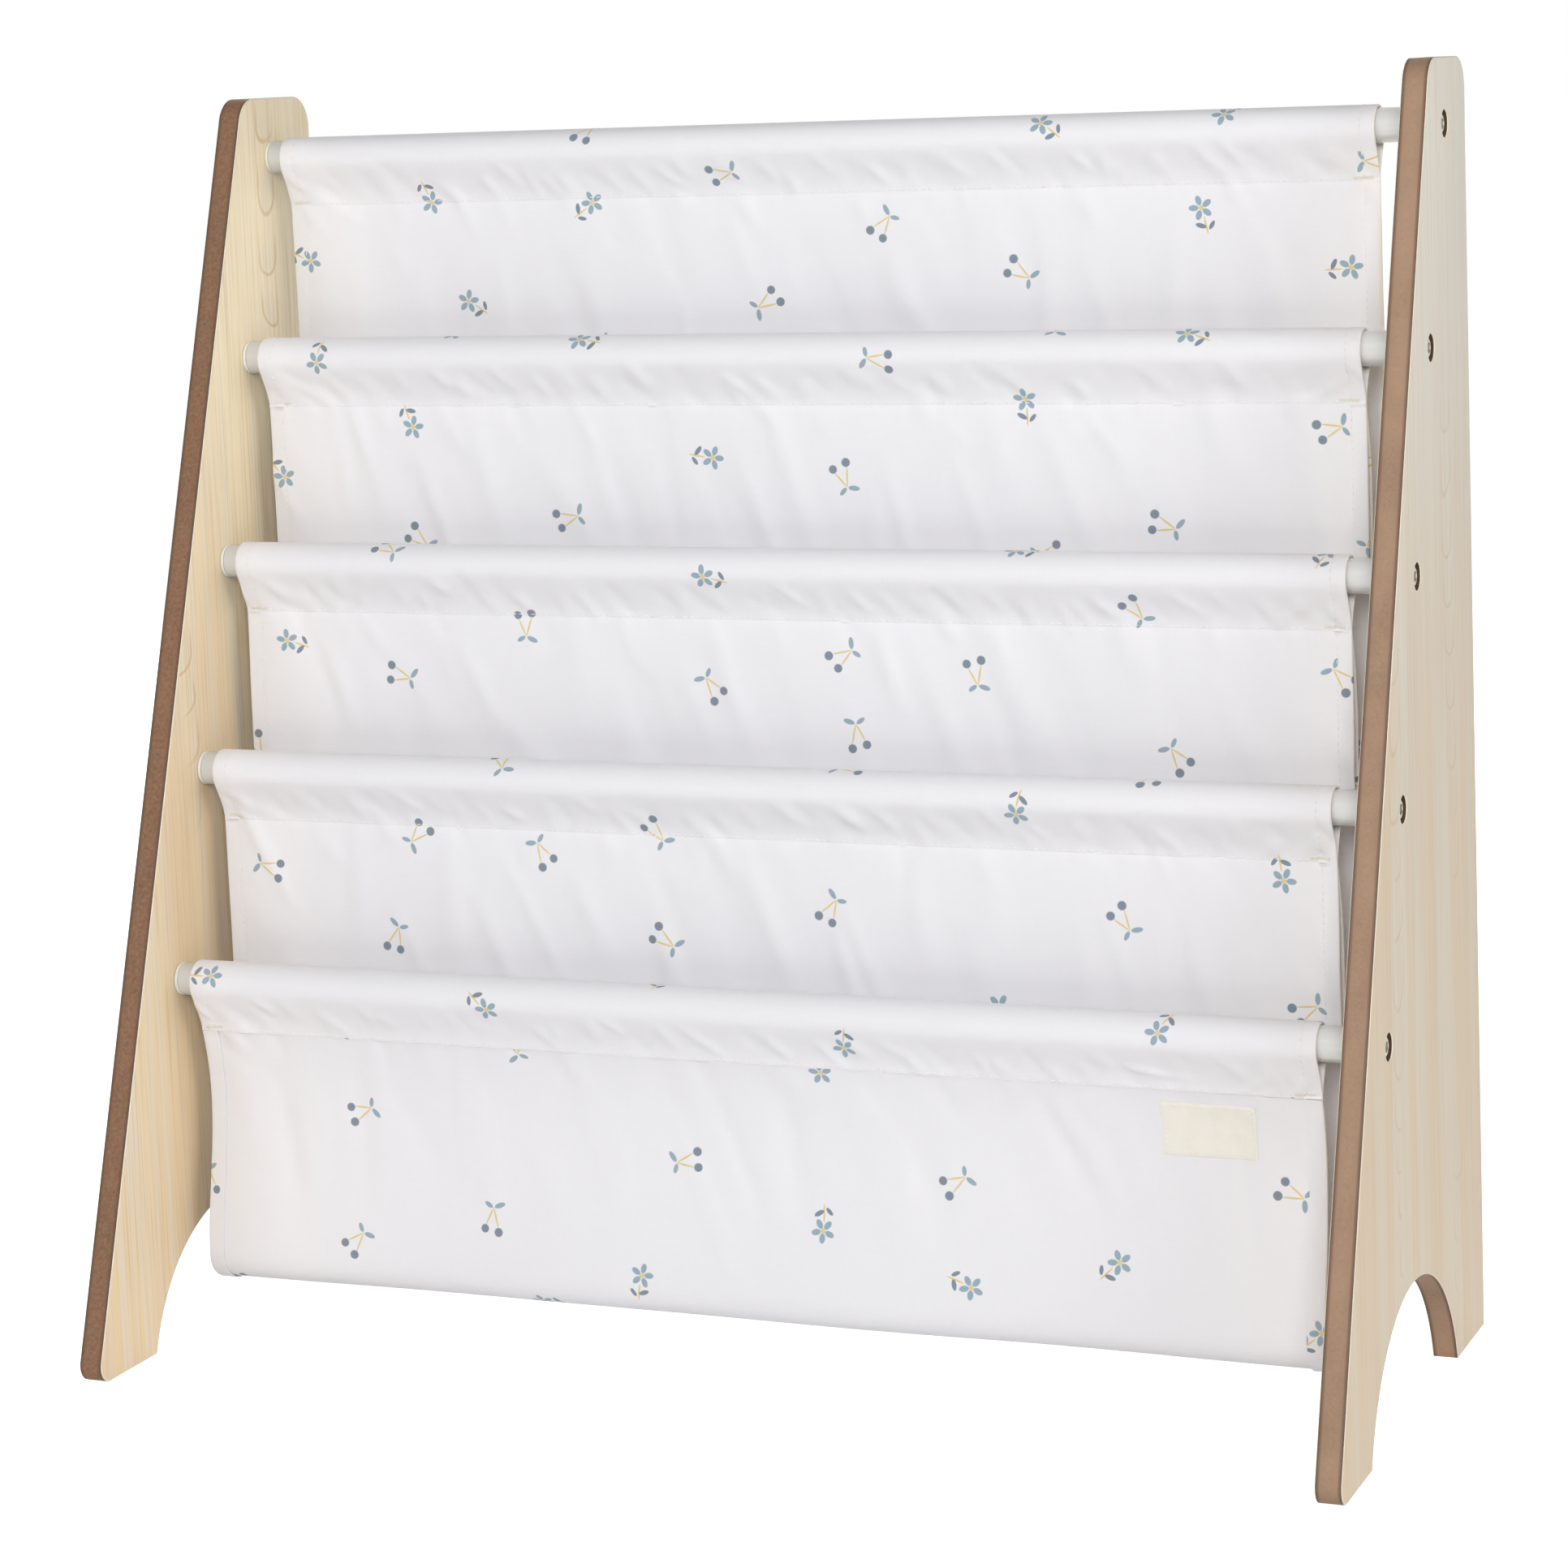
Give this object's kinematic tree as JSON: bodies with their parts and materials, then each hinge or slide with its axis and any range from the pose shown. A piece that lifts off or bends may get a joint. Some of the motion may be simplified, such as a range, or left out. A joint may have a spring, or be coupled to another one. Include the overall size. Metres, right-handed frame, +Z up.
{
  "type": "sling bookshelf",
  "caption": "Low free-standing book rack: leaning side boards joined by steel tubes, with a cloth sling that hangs from the tubes in face-out book pockets.",
  "frame": {"origin": "on the floor, in the middle of the footprint", "axes": "+X across the shelf to the right board as seen from the front, +Y to the back, +Z up"},
  "size_m": [0.61, 0.2638, 0.597],
  "materials": {
    "board_laminate": "satin wood-grain laminate with bare brown fibreboard edges",
    "tube_paint": "white powder coat, semi-gloss",
    "plug_plastic": "moulded, satin",
    "bolt_steel": "zinc plated",
    "sling_cloth": "plain weave cotton with a small printed motif",
    "label_tape": "woven tape, bare"
  },
  "bodies": {
    "root": {"left_side_board": "board_laminate", "right_side_board": "board_laminate", "tube_1": "tube_paint", "left_tube_plug_1": "plug_plastic", "left_bolt_1": "bolt_steel", "right_tube_plug_1": "plug_plastic", "right_bolt_1": "bolt_steel", "rod_sleeve_1": "sling_cloth", "tube_2": "tube_paint", "left_tube_plug_2": "plug_plastic", "left_bolt_2": "bolt_steel", "right_tube_plug_2": "plug_plastic", "right_bolt_2": "bolt_steel", "rod_sleeve_2": "sling_cloth", "tube_3": "tube_paint", "left_tube_plug_3": "plug_plastic", "left_bolt_3": "bolt_steel", "right_tube_plug_3": "plug_plastic", "right_bolt_3": "bolt_steel", "rod_sleeve_3": "sling_cloth", "tube_4": "tube_paint", "left_tube_plug_4": "plug_plastic", "left_bolt_4": "bolt_steel", "right_tube_plug_4": "plug_plastic", "right_bolt_4": "bolt_steel", "rod_sleeve_4": "sling_cloth", "tube_5": "tube_paint", "left_tube_plug_5": "plug_plastic", "left_bolt_5": "bolt_steel", "right_tube_plug_5": "plug_plastic", "right_bolt_5": "bolt_steel", "rod_sleeve_5": "sling_cloth", "pocket_sling_1": "sling_cloth", "pocket_sling_2": "sling_cloth", "pocket_sling_3": "sling_cloth", "pocket_sling_4": "sling_cloth", "sewn_label": "label_tape"}
  },
  "joints": []
}
